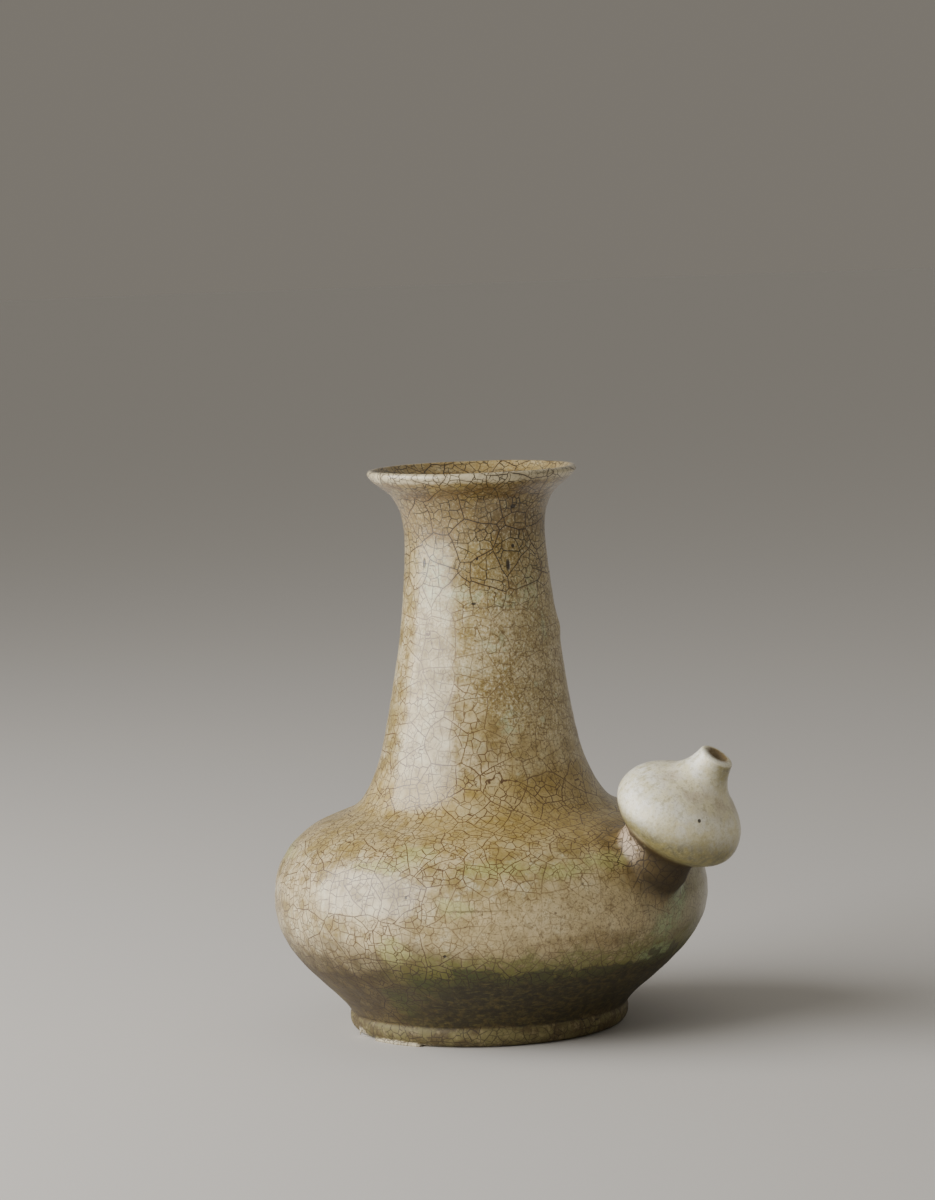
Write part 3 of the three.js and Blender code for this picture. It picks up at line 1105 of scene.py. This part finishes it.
stain = layered(
    tone(90, 62, 32),
    [
        (neck_top, tone(40, 28, 17)),
        (times(low, 0.85), tone(26, 18, 9)),
        (times(left_side, 0.5), tone(66, 46, 34)),
        (round_root, tone(44, 30, 14)),
    ],
)
halo = times(fade(oldest["Distance"], 1.4 * mm, 0.2 * mm), neck_top, 0.25)
colour = over(colour, halo, tone(120, 88, 44))
colour = over(colour, times(cracks, crack_share, 0.95), stain)

# Two long cracks lie level, one on the neck and one on the belly.
level_cracks = patches(
    [
        (-44.0, 152.2, 9.5, 0.3),
        (-56.0, 52.8, 12.0, 0.3),
    ],
    ragged=0.35, grain=4.0, softness=0.6,
)
colour = over(colour, times(level_cracks, 0.45), tone(70, 54, 38))

# Pits where the glaze has burst, each at its own place on the neck, the belly or the bulb.
bulb_pit_direction = Vector((17.5, -12.6, 0.8)).normalized()
bulb_pit_edge = 0.9994
bulb_pit_middle = 0.9998
pits = patches(
    [
        (-97.0, 167.7, 0.6, 1.6),
        (-25.3, 166.4, 0.7, 2.0),
        (-21.0, 187.0, 1.0, 0.7),
        (-20.0, 173.0, 0.6, 0.7),
        (-53.9, 153.5, 0.8, 0.4),
        (-50.0, 169.0, 0.4, 0.4),
        (-74.2, 57.3, 0.45, 0.45),
        (-64.2, 37.1, 0.5, 0.45),
    ],
    ragged=0.12, grain=1.0, softness=0.35,
)
bulb_centre = on_shoulder @ Vector((0.0, 0.0, bulb_place))
from_centre = vectors("NORMALIZE", vectors("SUBTRACT", spot, bulb_centre))
towards_pit = vectors("DOT_PRODUCT", from_centre, bulb_pit_direction)
bulb_pit = fade(towards_pit, bulb_pit_edge, bulb_pit_middle)
pits = highest([pits, times(bulb_pit, on_spout)])
colour = over(colour, times(pits, 0.9), tone(34, 24, 16))

# The gloss and the small relief.
shader = glaze_tree.nodes["Principled BSDF"]
stalk_glaze = times(stalk, on_spout)
roughness = plus(
    0.27,
    times(small, 0.16),
    times(grainy, 0.08),
    times(low, 0.2),
    times(foot, 0.1),
    times(stalk_glaze, 0.25),
)
swell = times(noise_in(spot, 7.0 * mm, 2.0).outputs["Fac"], 0.4 * mm)
peel = times(noise_in(moved(0.5), 1.7 * mm, 2.0).outputs["Fac"], 0.085 * mm)
relief = plus(swell, peel, times(pits, -0.5 * mm))
bump = put(glaze_tree, "Bump", {"Height": relief, "Distance": 1.0, "Strength": 1.0})
filled(shader, {
    "Base Color": colour,
    "Roughness": roughness,
    "Normal": bump.outputs["Normal"],
    "Coat Weight": times(minus(1.0, highest([foot, low, stalk_glaze])), 0.5),
    "Coat Roughness": 0.16,
    "IOR": 1.52,
})
vessel.data.materials.clear()
vessel.data.materials.append(glaze)
vessel.data.shade_smooth()

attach(vessel, "root")
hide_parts("ewer")

# The stand-in studio.
# A pale floor lies under one wide soft window of light from the left, with a faint warm fill from all round.
# Past the floor the camera sees a backdrop of about the floor's own colour.
floor_colour = (0.62, 0.6, 0.57, 1.0)
floor_radius = 12.0
floor_sides = 96
fill_colour = (1.0, 0.95, 0.86, 1.0)
fill_strength = 0.3
far_light = 1.08
window_azimuth = view_azimuth - 73.0
window_distance = 1.1
window_height = 0.57
window_width = 1.54
window_tall = 1.1
window_power = 31.5
window_colour = (1.0, 0.985, 0.97)
window_aim = Vector((0.0, 0.0, 90.0 * mm))

floor_form = bmesh.new()
bmesh.ops.create_circle(floor_form, cap_ends=True, radius=floor_radius, segments=floor_sides)
floor = as_object(floor_form, "floor")
pale = bpy.data.materials.new("pale_floor")
pale.use_nodes = True
filled(pale.node_tree.nodes["Principled BSDF"], {"Base Color": floor_colour, "Roughness": 0.8})
floor.data.materials.append(pale)

world = bpy.data.worlds.new("studio")
bpy.context.scene.world = world
world.use_nodes = True
backdrop = tuple(far_light * a * b for a, b in zip(floor_colour[:3], fill_colour)) + (1.0,)
seen = put(world.node_tree, "LightPath", {}).outputs["Is Camera Ray"]
filled(world.node_tree.nodes["Background"], {
    "Color": over(fill_colour, seen, backdrop),
    "Strength": fill_strength,
})

window = bpy.data.lights.new("key", "AREA")
window.shape = "RECTANGLE"
window.size = window_width
window.size_y = window_tall
window.energy = window_power
window.color = window_colour
lamp = bpy.data.objects.new("key", window)
bpy.context.scene.collection.objects.link(lamp)
turn = math.radians(window_azimuth)
lamp.location = (window_distance * math.sin(turn), -window_distance * math.cos(turn), window_height)
lamp.rotation_euler = (window_aim - lamp.location).to_track_quat("-Z", "Y").to_euler()
